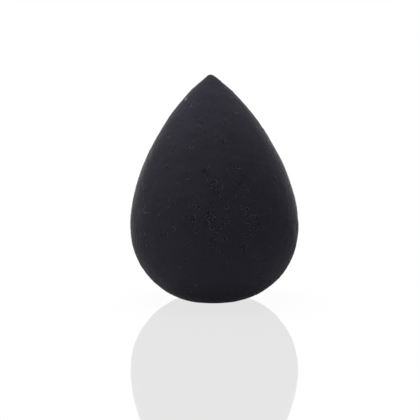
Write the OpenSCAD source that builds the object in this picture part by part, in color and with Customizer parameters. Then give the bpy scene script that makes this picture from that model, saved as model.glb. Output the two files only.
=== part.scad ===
// Teardrop makeup sponge: one solid piece of soft open-cell foam, ground to a pear outline.
// Millimetres, +Z up along the axis of the sponge, origin at the centre of the flat it stands on.

/* [Overall] */
// Height from the flat under the sponge to the end of its tip
sponge_h = 60; // [55:0.5:80]
// Width across the widest line of the belly
sponge_w = 44; // [36:0.5:49]

/* [Base] */
// Width of the flat that the foam settles on when it stands
seat_w = 10; // [6:0.5:16]

/* [Belly] */
// Height of the widest line
belly_h = 19.5; // [17.5:0.5:24]
// Radius of the outline just above the widest line
belly_r = 36; // [26:1:46]

/* [Flank] */
// Height at which the belly gives way to the long flank
flank_h = 29; // [26:0.5:38]

/* [Tip] */
// Radius of the blunt tip
tip_r = 1.2; // [0.8:0.1:4]

/* [Hidden] */
$fn = 180;
foam_color = "#2b2a30";

half_w = sponge_w / 2;
seat_r = seat_w / 2;

// The half outline is a chain of four arcs, each tangent to the next, written as [radius, height].
// The shoulder arc runs from the edge of the flat to the widest line, where it stands upright.
shoulder_run = half_w - seat_r;
shoulder_r = (shoulder_run ^ 2 + belly_h ^ 2) / (2 * shoulder_run);
shoulder_centre = [half_w - shoulder_r, belly_h];

// The belly arc goes on from the widest line and has turned by belly_turn where the flank starts.
belly_centre = [half_w - belly_r, belly_h];
belly_turn = asin((flank_h - belly_h) / belly_r);
flank_normal = [cos(belly_turn), sin(belly_turn)];
flank_start = belly_centre + belly_r * flank_normal;

// The flank arc leaves the belly square to flank_normal and closes round the tip's own circle.
tip_centre = [0, sponge_h - tip_r];
tip_to_flank = flank_start - tip_centre;
flank_r = (tip_to_flank * tip_to_flank - tip_r ^ 2) / (2 * (tip_to_flank * flank_normal - tip_r));
flank_centre = flank_start - flank_r * flank_normal;
tip_start = tip_centre + tip_r * (tip_centre - flank_centre) / norm(tip_centre - flank_centre);

// Discs that only touch would leave a ledge at the joint. So the wider disc of a pair is drawn in by lap,
// and the tighter one runs on past the joint by overrun, until the two outlines have crossed.
lap = 0.001;
overrun = 3;

// The part of a disc that lies between two heights, on the positive side of the axis
module band(centre, radius, low, high) {
    intersection() {
        translate(centre) circle(r = radius);
        translate([0, low]) square([sponge_w, high - low]);
    }
}

// Half of the sponge's outline, from the flat up to the tip
module half_outline() {
    if (shoulder_centre.x > 0) square([shoulder_centre.x, belly_h]);
    band(shoulder_centre, shoulder_r, 0, belly_h + overrun);
    band(belly_centre, belly_r - lap, belly_h, flank_h + overrun);
    band(flank_centre, flank_r - 2 * lap, flank_h, tip_start.y);
    band(tip_centre, tip_r, tip_start.y - overrun, sponge_h + overrun);
}

module foam_body() {
    color(foam_color) rotate_extrude() half_outline();
}

foam_body();
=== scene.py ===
import math

import bmesh
import bpy
import numpy as np
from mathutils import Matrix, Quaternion, Vector
from mathutils.kdtree import KDTree


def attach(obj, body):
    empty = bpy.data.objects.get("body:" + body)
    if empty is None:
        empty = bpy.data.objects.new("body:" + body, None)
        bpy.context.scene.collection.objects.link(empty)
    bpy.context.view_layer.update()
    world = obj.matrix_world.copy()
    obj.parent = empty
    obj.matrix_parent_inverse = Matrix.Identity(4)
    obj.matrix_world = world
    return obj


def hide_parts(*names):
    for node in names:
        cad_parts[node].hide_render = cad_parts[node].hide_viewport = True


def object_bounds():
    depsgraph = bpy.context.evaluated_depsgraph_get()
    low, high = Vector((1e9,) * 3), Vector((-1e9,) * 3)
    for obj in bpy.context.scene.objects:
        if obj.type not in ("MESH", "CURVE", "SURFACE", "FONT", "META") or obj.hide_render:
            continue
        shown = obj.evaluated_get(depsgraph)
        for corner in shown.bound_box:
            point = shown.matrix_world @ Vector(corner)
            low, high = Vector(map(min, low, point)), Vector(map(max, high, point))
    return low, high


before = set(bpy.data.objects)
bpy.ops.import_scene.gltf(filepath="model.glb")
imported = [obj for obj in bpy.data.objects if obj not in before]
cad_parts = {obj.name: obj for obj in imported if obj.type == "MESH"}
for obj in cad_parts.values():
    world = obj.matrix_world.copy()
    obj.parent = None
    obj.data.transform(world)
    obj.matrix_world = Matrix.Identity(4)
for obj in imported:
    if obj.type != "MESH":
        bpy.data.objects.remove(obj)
CAD_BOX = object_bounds()

# A teardrop makeup sponge of soft charcoal foam. Everything is in metres, in the frame of the CAD part.
MM = 0.001
SEED = 7
WHITE = (1, 1, 1, 1)

# How the photograph shows the sponge, in the pixels of its square picture
PICTURE_PX = 420
FOOT_PX = (216.3, 300.1)
BELLY_W_PX = 167.3
LEAN = math.radians(1.61)
ELEVATION = math.radians(9.5)

# The camera
CAMERA_D = 1.2
SENSOR_W = 0.036

# The foam's mesh: cells along an edge of the cube that it is blown up from, and steps along the outline.
# A point of the solid lower than FLAT_H belongs to its flat.
MESH_CELLS = 124
CAD_STEP = 0.4 * MM
OUTLINE_STEP = 0.05 * MM
FLAT_H = 0.01 * MM

# The unevenness of ground foam: wavelength and height of each layer. A layer is WAVES waves, whose lengths
# are its own wavelength times a number in WAVE_RANGE. Below CALM_H it dies away towards the flat.
SWELLS = [(16 * MM, 0.035 * MM), (5 * MM, 0.02 * MM), (1.6 * MM, 0.014 * MM), (0.9 * MM, 0.018 * MM)]
WAVES = 28
WAVE_RANGE = (0.7, 1.4)
CALM_H = 1.5 * MM

# Where the grinding left more foam or took more: azimuth from the camera's side, height, reach, rise
GROUND = [
    (-90, 58.5 * MM, 4 * MM, -0.2 * MM),
    (90, 42.5 * MM, 8 * MM, -0.17 * MM),
    (-90, 44 * MM, 7 * MM, -0.07 * MM),
    (88, 7 * MM, 11 * MM, 0.15 * MM),
    (-72, 53.6 * MM, 0.9 * MM, 0.25 * MM),
]

# The frayed fleck on the last of those rises, painted paler, partly as its own frayed foam and partly as a
# painted highlight where it catches light: azimuth, height, reach
FLECK = (-67, 53.9 * MM, 0.65 * MM)

# Patches with open pores that show at the front: across from the axis, height, reach, share of cells open
FRONT_PATCHES = [
    (0.0 * MM, 33.5 * MM, 3.2 * MM, 0.95),
    (-0.8 * MM, 25.1 * MM, 3.8 * MM, 0.95),
    (2.8 * MM, 23.6 * MM, 1.8 * MM, 0.95),
    (10.8 * MM, 24.8 * MM, 2.4 * MM, 0.88),
    (7.5 * MM, 34.3 * MM, 2.0 * MM, 0.66),
    (3.5 * MM, 49.3 * MM, 2.0 * MM, 0.66),
    (2.9 * MM, 44.6 * MM, 2.2 * MM, 0.66),
    (-2.7 * MM, 48.5 * MM, 1.2 * MM, 0.66),
    (-11.3 * MM, 38.1 * MM, 1.2 * MM, 0.77),
    (4.7 * MM, 37.5 * MM, 1.9 * MM, 0.55),
    (-1.5 * MM, 37.5 * MM, 1.9 * MM, 0.55),
    (-3.5 * MM, 30.6 * MM, 1.8 * MM, 0.55),
    (-5.6 * MM, 24.0 * MM, 3.0 * MM, 0.44),
    (-17.9 * MM, 26.5 * MM, 1.4 * MM, 0.77),
    (-13.3 * MM, 21.6 * MM, 1.9 * MM, 0.44),
    (-0.5 * MM, 18.8 * MM, 1.6 * MM, 0.55),
    (7.2 * MM, 16.5 * MM, 1.9 * MM, 0.55),
    (-7.8 * MM, 14.2 * MM, 1.2 * MM, 0.66),
    (0.0 * MM, 27.0 * MM, 23.0 * MM, 0.13),
]

# Elsewhere the patches are scattered at random, and outside all of them only a few cells are open
OTHER_PATCHES = 46
OTHER_REACH = (0.9 * MM, 2.6 * MM)
OTHER_SHARE = (0.4, 0.9)
STRAY_SHARE = 0.015

# The larger pores of a patch are sunk into the mesh. Its reach is SPREADS_IN_REACH times the spread of them.
PORES_IN_PATCH = (1, 5)
SPREADS_IN_REACH = 3
PORE_R = (0.28 * MM, 0.42 * MM)
PORE_DEPTH = (0.08 * MM, 0.2 * MM)

# The foam's colour, the fleck's pale colour, which is partly a painted highlight, and the soft nap that pales
# its edges
FOAM = (0.0202, 0.0193, 0.0279)
FRAYED_AND_HIGHLIGHT = (0.15, 0.15, 0.15)
SPECULAR = 0.1
NAP = 0.22
NAP_ROUGHNESS = 0.23

# The patterns in the foam: the size of its cells, the size of the coarser cells of which some hold a small
# pore, and the size and the detail of each noise. Their sizes, and those below, are in millimetres.
CELL_MM = 0.3
PORE_CELL_MM = 0.66
GRAIN = (0.55, 1)
LUMPS = (1.3, 2)
MOTTLE = (4.5, 3)

# A small pore: how near the surface its middle has to be, where the rim of its hole, darkened as painted
# shade, runs, and the inner and the outer edge of its lip, paled as a painted highlight, each from where it
# is nothing to where it is full
NEAR_SURFACE_MM = (0.24, 0.14)
HOLE_RIM_MM = (0.3, 0.2)
LIP_INNER_MM = (0.27, 0.36)
LIP_OUTER_MM = (0.56, 0.44)

# The strength of the faintest small pore, and how much stronger than that the strongest is
FAINTEST_PORE = 0.3
PORE_VARIETY = 0.7

# The foam's tone, what each pattern adds to it, and by what share a lip, a hole and a sunk pore change it:
# the lip with a painted highlight, the hole and the sunk pore with painted shade
PLAIN_TONE = 0.545
MOTTLE_TONE = 0.35
GRAIN_TONE = 0.3
CELL_TONE = 0.3
LIP_HIGHLIGHT_TONE = 1.8
HOLE_SHADE_TONE = -0.9
SUNK_SHADE_TONE = -0.5

# The relief of each pattern in the material, in millimetres, and how strongly all of it shows
CELL_RELIEF = 0.06
GRAIN_RELIEF = 0.06
LUMP_RELIEF = 0.07
LIP_RELIEF = 0.05
HOLE_RELIEF = -0.16
RELIEF_STRENGTH = 0.8

# The foam's roughness at both ends of the usual range of its grain
GRAIN_RANGE = (0.3, 0.7)
ROUGHNESS = (0.88, 1.0)

# Lamps: name, direction seen from the sponge (azimuth from the camera's side, elevation), distance, size,
# power and colour. They aim at LAMP_AIM_SHARE of the sponge's height.
LAMPS = [
    ("behind", 180, 68, 0.3, 0.25, 1.37, (1, 1, 0.98)),
    ("overhead", -30, 80, 0.3, 0.25, 0.61, (1, 1, 0.94)),
    ("left", -80, 20, 0.9, 0.5, 1.84, (1, 1, 0.93)),
]
LAMP_AIM_SHARE = 0.5
AMBIENT = 0.08

# The floor, whose shadow fades into plain white away from the sponge. The soft foot gives by FOOT_SETTLE.
FLOOR_SIZE = 8
FLOOR_GLOSS = 0.215
FLOOR_GLOSS_ROUGHNESS = 0.03
FLOOR_SHOWN_WHITE = 0.965
FLOOR_FADE = (0.05, 0.14)
FLOOR_TONE = 0.6
FOOT_SETTLE = 0.6 * MM


def add_object(name, data):
    """A new object in the scene."""
    made = bpy.data.objects.new(name, data)
    bpy.context.scene.collection.objects.link(made)
    return made


def feed(tree, node, inputs):
    """Sets each input of a node, by its name or number, to a value or to the socket that feeds it."""
    for name, value in inputs.items():
        if isinstance(value, bpy.types.NodeSocket):
            tree.links.new(value, node.inputs[name])
        else:
            node.inputs[name].default_value = value


def add_node(tree, kind, inputs=None, **settings):
    """A new shader node with its settings and its inputs."""
    made = tree.nodes.new(kind)
    for name, value in settings.items():
        setattr(made, name, value)
    feed(tree, made, inputs or {})
    return made


def maths(tree, operation, a, b=0.0, c=0.0):
    """The result of one sum on numbers or sockets."""
    return add_node(tree, "ShaderNodeMath", {0: a, 1: b, 2: c}, operation=operation).outputs[0]


def product(tree, first, *others):
    """All of the values multiplied together."""
    for other in others:
        first = maths(tree, "MULTIPLY", first, other)
    return first


def weighted(tree, start, *terms):
    """start plus each term's value times its weight."""
    for value, weight in terms:
        start = maths(tree, "MULTIPLY_ADD", value, weight, start)
    return start


def vector(tree, operation, a, b=(0, 0, 0)):
    """A sum on two vectors."""
    return add_node(tree, "ShaderNodeVectorMath", {0: a, 1: b}, operation=operation).outputs


def scaled(tree, a, factor):
    """A vector times a number."""
    return add_node(tree, "ShaderNodeVectorMath", {0: a, "Scale": factor}, operation="SCALE").outputs[0]


def ramp(tree, value, low, high, at_low=0.0, at_high=1.0):
    """value taken from low..high to at_low..at_high, held at the ends and eased between them."""
    made = add_node(
        tree,
        "ShaderNodeMapRange",
        {"Value": value, "From Min": low, "From Max": high, "To Min": at_low, "To Max": at_high},
        interpolation_type="SMOOTHSTEP",
    )
    return made.outputs["Result"]


def noise(tree, place, size_mm, detail):
    """Soft noise of about that size."""
    made = add_node(tree, "ShaderNodeTexNoise", {"Vector": place, "Scale": 1 / size_mm, "Detail": detail})
    return made.outputs["Fac"]


def cells(tree, place, size_mm):
    """A pattern of rounded cells of about that size."""
    return add_node(tree, "ShaderNodeTexVoronoi", {"Vector": place, "Scale": 1 / size_mm}).outputs


def painted(tree, name):
    """A value that the mesh carries at its points."""
    return add_node(tree, "ShaderNodeAttribute", attribute_name=name).outputs["Fac"]


def make_camera():
    """A camera at the photograph's angle, which puts the sponge where the photograph has it."""
    low, high = CAD_BOX
    px = (high.x - low.x) / BELLY_W_PX
    camera = add_object("camera", bpy.data.cameras.new("camera"))
    camera.data.sensor_width = SENSOR_W / MM
    camera.data.lens = SENSOR_W / MM * CAMERA_D / (PICTURE_PX * px)
    back = Vector((0, -math.cos(ELEVATION), math.sin(ELEVATION)))
    turn = back.to_track_quat("Z", "Y") @ Quaternion((0, 0, 1), -LEAN)
    right, up = turn @ Vector((1, 0, 0)), turn @ Vector((0, 1, 0))
    middle = PICTURE_PX / 2
    aim = right * (middle - FOOT_PX[0]) * px + up * (FOOT_PX[1] - middle) * px
    camera.location = aim + back * CAMERA_D
    camera.rotation_mode = "QUATERNION"
    camera.rotation_quaternion = turn
    bpy.context.scene.camera = camera


def hermite(x, y, at):
    """A smooth curve through the points (x, y), read at the places at."""
    slope = np.gradient(y, x, edge_order=2)
    i = np.clip(np.searchsorted(x, at) - 1, 0, len(x) - 2)
    span = x[i + 1] - x[i]
    t = (at - x[i]) / span
    start = (1 + 2 * t) * (1 - t) ** 2 * y[i] + t * (1 - t) ** 2 * span * slope[i]
    end = t * t * (3 - 2 * t) * y[i + 1] + t * t * (t - 1) * span * slope[i + 1]
    return start + end


def length_along(points):
    """How far along the line each of its points lies."""
    return np.append(0, np.cumsum(np.linalg.norm(np.diff(points, axis=0), axis=1)))


def cad_outline(node):
    """Radius and height along the solid's outline, from the middle of its flat to the end of its tip."""
    vertices = np.array([v.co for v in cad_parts[node].data.vertices])
    ring = np.column_stack([np.hypot(vertices[:, 0], vertices[:, 1]), vertices[:, 2]])
    flat_r = ring[ring[:, 1] < FLAT_H, 0].max()
    side = ring[ring[:, 1] >= FLAT_H]
    side = np.vstack([[flat_r, 0], side[np.argsort(side[:, 1])]])
    kept = [side[0]]
    for point in side[1:]:
        if np.linalg.norm(point - kept[-1]) >= CAD_STEP:
            kept.append(point)
    kept[-1] = np.array([0, side[-1, 1]])
    kept = np.array(kept)
    along = length_along(kept)
    fine = np.arange(0, along[-1], OUTLINE_STEP)
    curve = np.column_stack([hermite(along, kept[:, 0], fine), hermite(along, kept[:, 1], fine)])
    across = np.arange(0, flat_r, OUTLINE_STEP)
    flat = np.column_stack([across, np.zeros(len(across))])
    return np.vstack([flat, curve, kept[-1]])


def blown_cube(cells_along):
    """A cube with that many cells along each edge, blown up to a ball of radius 1 with cells of like size."""
    mesh = bmesh.new()
    bmesh.ops.create_cube(mesh, size=2)
    bmesh.ops.subdivide_edges(mesh, edges=mesh.edges[:], cuts=cells_along - 1, use_grid_fill=True)
    ball = np.tan(np.array([v.co for v in mesh.verts]) * math.pi / 4)
    return mesh, ball / np.linalg.norm(ball, axis=1)[:, None]


def wrap(ball, outline):
    """The ball's points moved onto the outline turned about Z, each cell keeping its share of the surface.
    Returns the points and the way out of the surface at each of them."""
    radius, height = outline.T
    along = length_along(outline)
    band = np.diff(along) * (radius[1:] + radius[:-1])
    below = np.append(0, np.cumsum(band)) / band.sum()
    place = np.interp((1 + ball[:, 2]) / 2, below, along)
    around = np.arctan2(ball[:, 1], ball[:, 0])
    turn = np.column_stack([np.cos(around), np.sin(around)])
    out_r = np.interp(place, along, np.gradient(height, along))
    out_z = np.interp(place, along, -np.gradient(radius, along))
    point_r, point_z = np.interp(place, along, radius), np.interp(place, along, height)
    points = np.column_stack([turn * point_r[:, None], point_z])
    outward = np.column_stack([turn * out_r[:, None], out_z])
    return points, outward / np.linalg.norm(outward, axis=1)[:, None]


def swell(points, wavelength, rng):
    """A gentle random unevenness of about that wavelength at each point, with a spread of 1."""
    ways = rng.normal(size=(WAVES, 3))
    ways /= np.linalg.norm(ways, axis=1)[:, None]
    turns = 2 * math.pi / (wavelength * rng.uniform(*WAVE_RANGE, WAVES))
    starts = rng.uniform(0, 2 * math.pi, WAVES)
    return np.sin(points @ (ways * turns[:, None]).T + starts).sum(axis=1) * math.sqrt(2 / WAVES)


def ease(distance, reach):
    """1 in the middle of a patch, 0 from its edge on."""
    near = np.clip(1 - distance / reach, 0, 1)
    return near * near * (3 - 2 * near)


def spot(points, azimuth, height, reach):
    """1 in the middle of a round spot on the sponge's side, 0 from its edge on."""
    around = np.arctan2(points[:, 0], -points[:, 1]) - math.radians(azimuth)
    around = (around + math.pi) % (2 * math.pi) - math.pi
    radius = np.hypot(points[:, 0], points[:, 1])
    return ease(np.hypot(around * radius, points[:, 2] - height), reach)


def ground_rise(points):
    """How far the grinding left each point above or below the plain outline."""
    return sum(size * spot(points, *place) for *place, size in GROUND)


def pick_patches(points, rng):
    """Middle, reach and share of each patch of open pores: those at the front, then others behind."""
    patches = []
    front = points[points[:, 1] < 0]
    for across, height, reach, share in FRONT_PATCHES:
        nearest = np.argmin(np.hypot(front[:, 0] - across, front[:, 2] - height))
        patches.append((front[nearest], reach, share))
    rest = points[points[:, 1] > 0]
    for _ in range(OTHER_PATCHES):
        middle = rest[rng.integers(len(rest))]
        patches.append((middle, rng.uniform(*OTHER_REACH), rng.uniform(*OTHER_SHARE)))
    return patches


def open_share(points, patches):
    """The share of the foam's cells that lie open round each point."""
    share = np.full(len(points), STRAY_SHARE)
    for middle, reach, most in patches:
        share = np.maximum(share, most * ease(np.linalg.norm(points - middle, axis=1), reach))
    return share


def open_pores(points, patches, rng):
    """How deep each point lies in a large open pore, in metres and as a share of that pore's depth; the share
    masks the painted shade inside the pore.
    """
    tree = KDTree(len(points))
    for i, point in enumerate(points):
        tree.insert(point, i)
    tree.balance()
    depth, inside = np.zeros(len(points)), np.zeros(len(points))
    for middle, reach, _ in patches:
        for _ in range(rng.integers(*PORES_IN_PATCH)):
            pore = tree.find(middle + rng.normal(size=3) * reach / SPREADS_IN_REACH)[0]
            radius, deep = rng.uniform(*PORE_R), rng.uniform(*PORE_DEPTH)
            for _, i, distance in tree.find_range(pore, radius):
                share = 1 - (distance / radius) ** 2
                depth[i] = max(depth[i], deep * share)
                inside[i] = max(inside[i], share)
    return depth, inside


def make_foam(node):
    """The sponge: the CAD outline with the unevenness and the open pores of ground foam."""
    rng = np.random.default_rng(SEED)
    mesh, ball = blown_cube(MESH_CELLS)
    points, outward = wrap(ball, cad_outline(node))
    rise = sum(size * swell(points, wavelength, rng) for wavelength, size in SWELLS)
    patches = pick_patches(points, rng)
    share = open_share(points, patches)
    # inside masks the painted shade inside the large pores
    depth, inside = open_pores(points, patches, rng)
    # The fleck, painted paler: partly its own frayed foam, partly a painted highlight where it catches light
    frayed_and_highlight = spot(points, *FLECK)
    calm = np.clip(points[:, 2] / CALM_H, 0, 1)
    points = points + outward * ((rise + ground_rise(points) - depth) * calm)[:, None]
    points[:, 2] = np.maximum(points[:, 2], 0)
    data = bpy.data.meshes.new("foam")
    mesh.to_mesh(data)
    mesh.free()
    data.vertices.foreach_set("co", points.astype(np.float32).ravel())
    # These carry the masks of the painted shade in large pores and of the fleck's pale tone and painted
    # highlight
    for name, values in (("pore", inside), ("open", share), ("frayed_and_highlight", frayed_and_highlight)):
        data.attributes.new(name, "FLOAT", "POINT").data.foreach_set("value", values.astype(np.float32))
    data.shade_smooth()
    data.update()
    return add_object("foam", data)


def small_pores(tree, normal, place):
    """The hole, darkened as painted shade, and the lip, paled as a painted highlight, of each small open
    pore, round a point of a coarser pattern that lies near the surface. The mesh carries the share of those
    points that have a pore."""
    coarse = cells(tree, place, PORE_CELL_MM)
    pick = add_node(tree, "ShaderNodeSeparateColor", {"Color": coarse["Color"]}).outputs
    chosen = maths(tree, "LESS_THAN", pick[0], painted(tree, "open"))
    offset = vector(tree, "SUBTRACT", coarse["Position"], place)[0]
    sunk = vector(tree, "DOT_PRODUCT", offset, normal)["Value"]
    level = vector(tree, "SUBTRACT", offset, scaled(tree, normal, sunk))[0]
    away = vector(tree, "LENGTH", level)["Value"]
    near = ramp(tree, maths(tree, "ABSOLUTE", sunk), *NEAR_SURFACE_MM)
    strength = product(tree, chosen, near, weighted(tree, FAINTEST_PORE, (pick[1], PORE_VARIETY)))
    # The hole mask darkens the pore with painted shade
    hole = product(tree, ramp(tree, away, *HOLE_RIM_MM), strength)
    # The lip mask pales the pore's rim with a painted highlight
    lip = product(tree, ramp(tree, away, *LIP_INNER_MM), ramp(tree, away, *LIP_OUTER_MM), strength)
    return hole, lip


def foam_material():
    """Charcoal foam: fine cells, grain and mottling, open pores darkened with painted shade whose lips are
    paled as a painted highlight, a frayed fleck painted pale, partly as a painted highlight, and a soft nap
    that catches light at the edges."""
    material = bpy.data.materials.new("charcoal_foam")
    material.use_nodes = True
    tree = material.node_tree
    surface = add_node(tree, "ShaderNodeTexCoord").outputs
    place = scaled(tree, surface["Object"], 1 / MM)
    cell = cells(tree, place, CELL_MM)["Distance"]
    grain = noise(tree, place, *GRAIN)
    lumps = noise(tree, place, *LUMPS)
    mottle = noise(tree, place, *MOTTLE)
    hole, lip = small_pores(tree, surface["Normal"], place)
    # The tone darkens holes and sunk pores with painted shade and pales pore lips with a painted highlight
    tone = product(
        tree,
        weighted(tree, PLAIN_TONE, (mottle, MOTTLE_TONE), (grain, GRAIN_TONE), (cell, CELL_TONE)),
        weighted(tree, 1.0, (lip, LIP_HIGHLIGHT_TONE)),
        weighted(tree, 1.0, (hole, HOLE_SHADE_TONE)),
        weighted(tree, 1.0, (painted(tree, "pore"), SUNK_SHADE_TONE)),
    )
    # The fleck's pale colour, partly a painted highlight
    frayed_and_highlight = scaled(tree, FRAYED_AND_HIGHLIGHT, painted(tree, "frayed_and_highlight"))
    relief = weighted(
        tree,
        0.0,
        (cell, CELL_RELIEF),
        (grain, GRAIN_RELIEF),
        (lumps, LUMP_RELIEF),
        (lip, LIP_RELIEF),
        (hole, HOLE_RELIEF),
    )
    bump = add_node(tree, "ShaderNodeBump", {"Height": relief, "Strength": RELIEF_STRENGTH, "Distance": MM})
    looks = {
        "Base Color": vector(tree, "ADD", scaled(tree, FOAM, tone), frayed_and_highlight)[0],
        "Roughness": ramp(tree, grain, *GRAIN_RANGE, *ROUGHNESS),
        "Normal": bump.outputs["Normal"],
        "Specular IOR Level": SPECULAR,
        "Sheen Weight": NAP,
        "Sheen Roughness": NAP_ROUGHNESS,
        "Sheen Tint": WHITE,
    }
    feed(tree, tree.nodes["Principled BSDF"], looks)
    return material


def seen_directly(tree):
    """1 for rays from the camera and for those that mirror or pass through something, else 0."""
    rays = add_node(tree, "ShaderNodeLightPath").outputs
    seen = maths(tree, "MAXIMUM", rays["Is Camera Ray"], rays["Is Glossy Ray"])
    return maths(tree, "MAXIMUM", seen, rays["Is Transmission Ray"])


def mixed(tree, share, first, second):
    """A mix of two shader nodes, with that share of the second."""
    return add_node(tree, "ShaderNodeMixShader", {0: share, 1: first.outputs[0], 2: second.outputs[0]})


def make_world():
    """A white studio to look at, with a softer light from all round."""
    world = bpy.data.worlds.new("studio")
    bpy.context.scene.world = world
    world.use_nodes = True
    tree = world.node_tree
    soft = tree.nodes["Background"]
    feed(tree, soft, {"Color": WHITE, "Strength": AMBIENT})
    white = add_node(tree, "ShaderNodeBackground", {"Color": WHITE, "Strength": 1.0})
    mix = mixed(tree, seen_directly(tree), soft, white)
    feed(tree, tree.nodes["World Output"], {"Surface": mix.outputs[0]})


def floor_material():
    """A white floor with a faint mirror image in it."""
    material = bpy.data.materials.new("white_floor")
    material.use_nodes = True
    tree = material.node_tree
    tree.nodes.remove(tree.nodes["Principled BSDF"])
    plain = add_node(tree, "ShaderNodeBsdfDiffuse", {"Color": (FLOOR_TONE, FLOOR_TONE, FLOOR_TONE, 1)})
    white = add_node(tree, "ShaderNodeEmission", {"Color": WHITE, "Strength": 1.0})
    place = add_node(tree, "ShaderNodeTexCoord").outputs["Object"]
    away = vector(tree, "LENGTH", place)["Value"]
    shown = product(tree, seen_directly(tree), ramp(tree, away, *FLOOR_FADE, FLOOR_SHOWN_WHITE, 1.0))
    gloss = add_node(tree, "ShaderNodeBsdfGlossy", {"Color": WHITE, "Roughness": FLOOR_GLOSS_ROUGHNESS})
    mix = mixed(tree, FLOOR_GLOSS, mixed(tree, shown, plain, white), gloss)
    feed(tree, tree.nodes["Material Output"], {"Surface": mix.outputs[0]})
    return material


def make_floor():
    """The floor. It is level in the picture, where the sponge leans on its soft foot."""
    mesh = bmesh.new()
    bmesh.ops.create_grid(mesh, x_segments=1, y_segments=1, size=FLOOR_SIZE / 2)
    data = bpy.data.meshes.new("floor")
    mesh.to_mesh(data)
    mesh.free()
    floor = add_object("floor", data)
    slope = math.atan(math.tan(LEAN) * math.cos(ELEVATION))
    floor.location = (0, 0, FOOT_SETTLE)
    floor.rotation_euler = (0, slope, 0)
    data.materials.append(floor_material())


def make_lamps():
    """Large soft lamps, all aimed at the same height of the sponge."""
    low, high = CAD_BOX
    aim = Vector((0, 0, low.z + LAMP_AIM_SHARE * (high.z - low.z)))
    for name, azimuth, elevation, distance, size, power, color in LAMPS:
        a, e = math.radians(azimuth), math.radians(elevation)
        way = Vector((math.sin(a) * math.cos(e), -math.cos(a) * math.cos(e), math.sin(e)))
        data = bpy.data.lights.new(name, "AREA")
        data.size = size
        data.energy = power
        data.color = color
        lamp = add_object(name, data)
        lamp.location = aim + way * distance
        lamp.rotation_mode = "QUATERNION"
        lamp.rotation_quaternion = way.to_track_quat("Z", "Y")


def dress(node):
    """The foam in place of its plain solid."""
    foam = make_foam(node)
    foam.data.materials.append(foam_material())
    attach(foam, "root")
    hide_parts(node)


make_camera()
dress("foam_body")
make_floor()
make_world()
make_lamps()
bpy.context.scene.view_settings.view_transform = "Standard"
